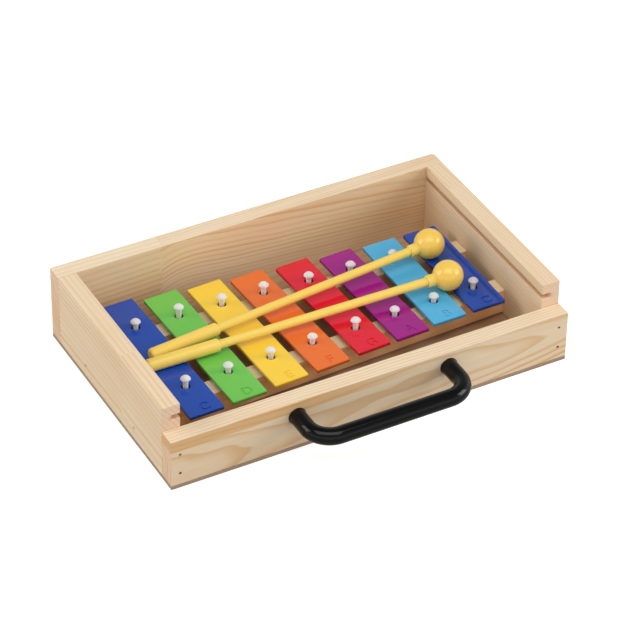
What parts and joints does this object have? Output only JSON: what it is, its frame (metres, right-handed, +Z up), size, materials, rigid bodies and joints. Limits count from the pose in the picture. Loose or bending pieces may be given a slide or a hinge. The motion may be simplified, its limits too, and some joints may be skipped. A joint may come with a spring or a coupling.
{
  "type": "xylophone",
  "caption": "Toy xylophone in an open wooden case: coloured metal bars on two rails, a D-shaped carrying handle on the low front wall and two ball mallets.",
  "frame": {"origin": "centre of the case's bottom face, on the table", "axes": "+X along the row of bars from low to high notes, -Y towards the handle, +Z up"},
  "size_m": [0.3, 0.2201, 0.0583],
  "materials": {
    "pine": "sanded",
    "rail_pine": "sawn",
    "hardboard": "raw sheet",
    "pin_plastic": "milky",
    "washer_rubber": "matte",
    "handle_black": "satin",
    "zinc_screws": "zinc plated",
    "nail_steel": "dull",
    "stick_yellow": "smooth",
    "ball_yellow": "polished",
    "lacquer_low_c": "glossy lacquer",
    "lacquer_d": "glossy lacquer",
    "lacquer_e": "glossy lacquer",
    "lacquer_f": "glossy lacquer",
    "lacquer_g": "glossy lacquer",
    "lacquer_a": "glossy lacquer",
    "lacquer_b": "glossy lacquer",
    "lacquer_high_c": "glossy lacquer"
  },
  "bodies": {
    "case": {"bottom_panel": "hardboard", "back_wall": "pine", "front_wall": "pine", "left_wall": "pine", "right_wall": "pine", "back_rail": "rail_pine", "front_rail": "rail_pine", "back_pins": "pin_plastic", "front_pins": "pin_plastic", "back_washers": "washer_rubber", "front_washers": "washer_rubber", "handle": "handle_black", "handle_screws": "zinc_screws", "corner_nails": "nail_steel", "rail_nails": "nail_steel", "panel_nails": "nail_steel"},
    "bar_low_c_body": {"bar_low_c": "lacquer_low_c"},
    "bar_d_body": {"bar_d": "lacquer_d"},
    "bar_e_body": {"bar_e": "lacquer_e"},
    "bar_f_body": {"bar_f": "lacquer_f"},
    "bar_g_body": {"bar_g": "lacquer_g"},
    "bar_a_body": {"bar_a": "lacquer_a"},
    "bar_b_body": {"bar_b": "lacquer_b"},
    "bar_high_c_body": {"bar_high_c": "lacquer_high_c"},
    "back_mallet": {"back_mallet_stick": "stick_yellow", "back_mallet_ball": "ball_yellow"},
    "front_mallet": {"front_mallet_stick": "stick_yellow", "front_mallet_ball": "ball_yellow"}
  },
  "joints": [
    {"name": "bar_low_c_shift", "type": "slide", "parent": "case", "child": "bar_low_c_body", "axis": [-0.0227, 0.9997, 0], "range_m": [-0.0008, 0.0008]},
    {"name": "bar_d_shift", "type": "slide", "parent": "case", "child": "bar_d_body", "axis": [-0.0297, 0.9996, 0], "range_m": [-0.0008, 0.0008]},
    {"name": "bar_e_shift", "type": "slide", "parent": "case", "child": "bar_e_body", "axis": [-0.0401, 0.9992, 0], "range_m": [-0.0008, 0.0008]},
    {"name": "bar_f_shift", "type": "slide", "parent": "case", "child": "bar_f_body", "axis": [-0.0523, 0.9986, 0], "range_m": [-0.0008, 0.0008]},
    {"name": "bar_g_shift", "type": "slide", "parent": "case", "child": "bar_g_body", "axis": [-0.0488, 0.9988, 0], "range_m": [-0.0008, 0.0008]},
    {"name": "bar_a_shift", "type": "slide", "parent": "case", "child": "bar_a_body", "axis": [-0.0332, 0.9995, 0], "range_m": [-0.0008, 0.0008]},
    {"name": "bar_b_shift", "type": "slide", "parent": "case", "child": "bar_b_body", "axis": [-0.0052, 1, 0], "range_m": [-0.0008, 0.0008]},
    {"name": "bar_high_c_shift", "type": "slide", "parent": "case", "child": "bar_high_c_body", "axis": [0.0017, 1, 0], "range_m": [-0.0008, 0.0008]},
    {"name": "back_mallet_lift", "type": "slide", "parent": "case", "child": "back_mallet", "axis": [0, 0, 1], "range_m": [0, 0.08]},
    {"name": "front_mallet_lift", "type": "slide", "parent": "case", "child": "front_mallet", "axis": [0, 0, 1], "range_m": [0, 0.08]}
  ]
}
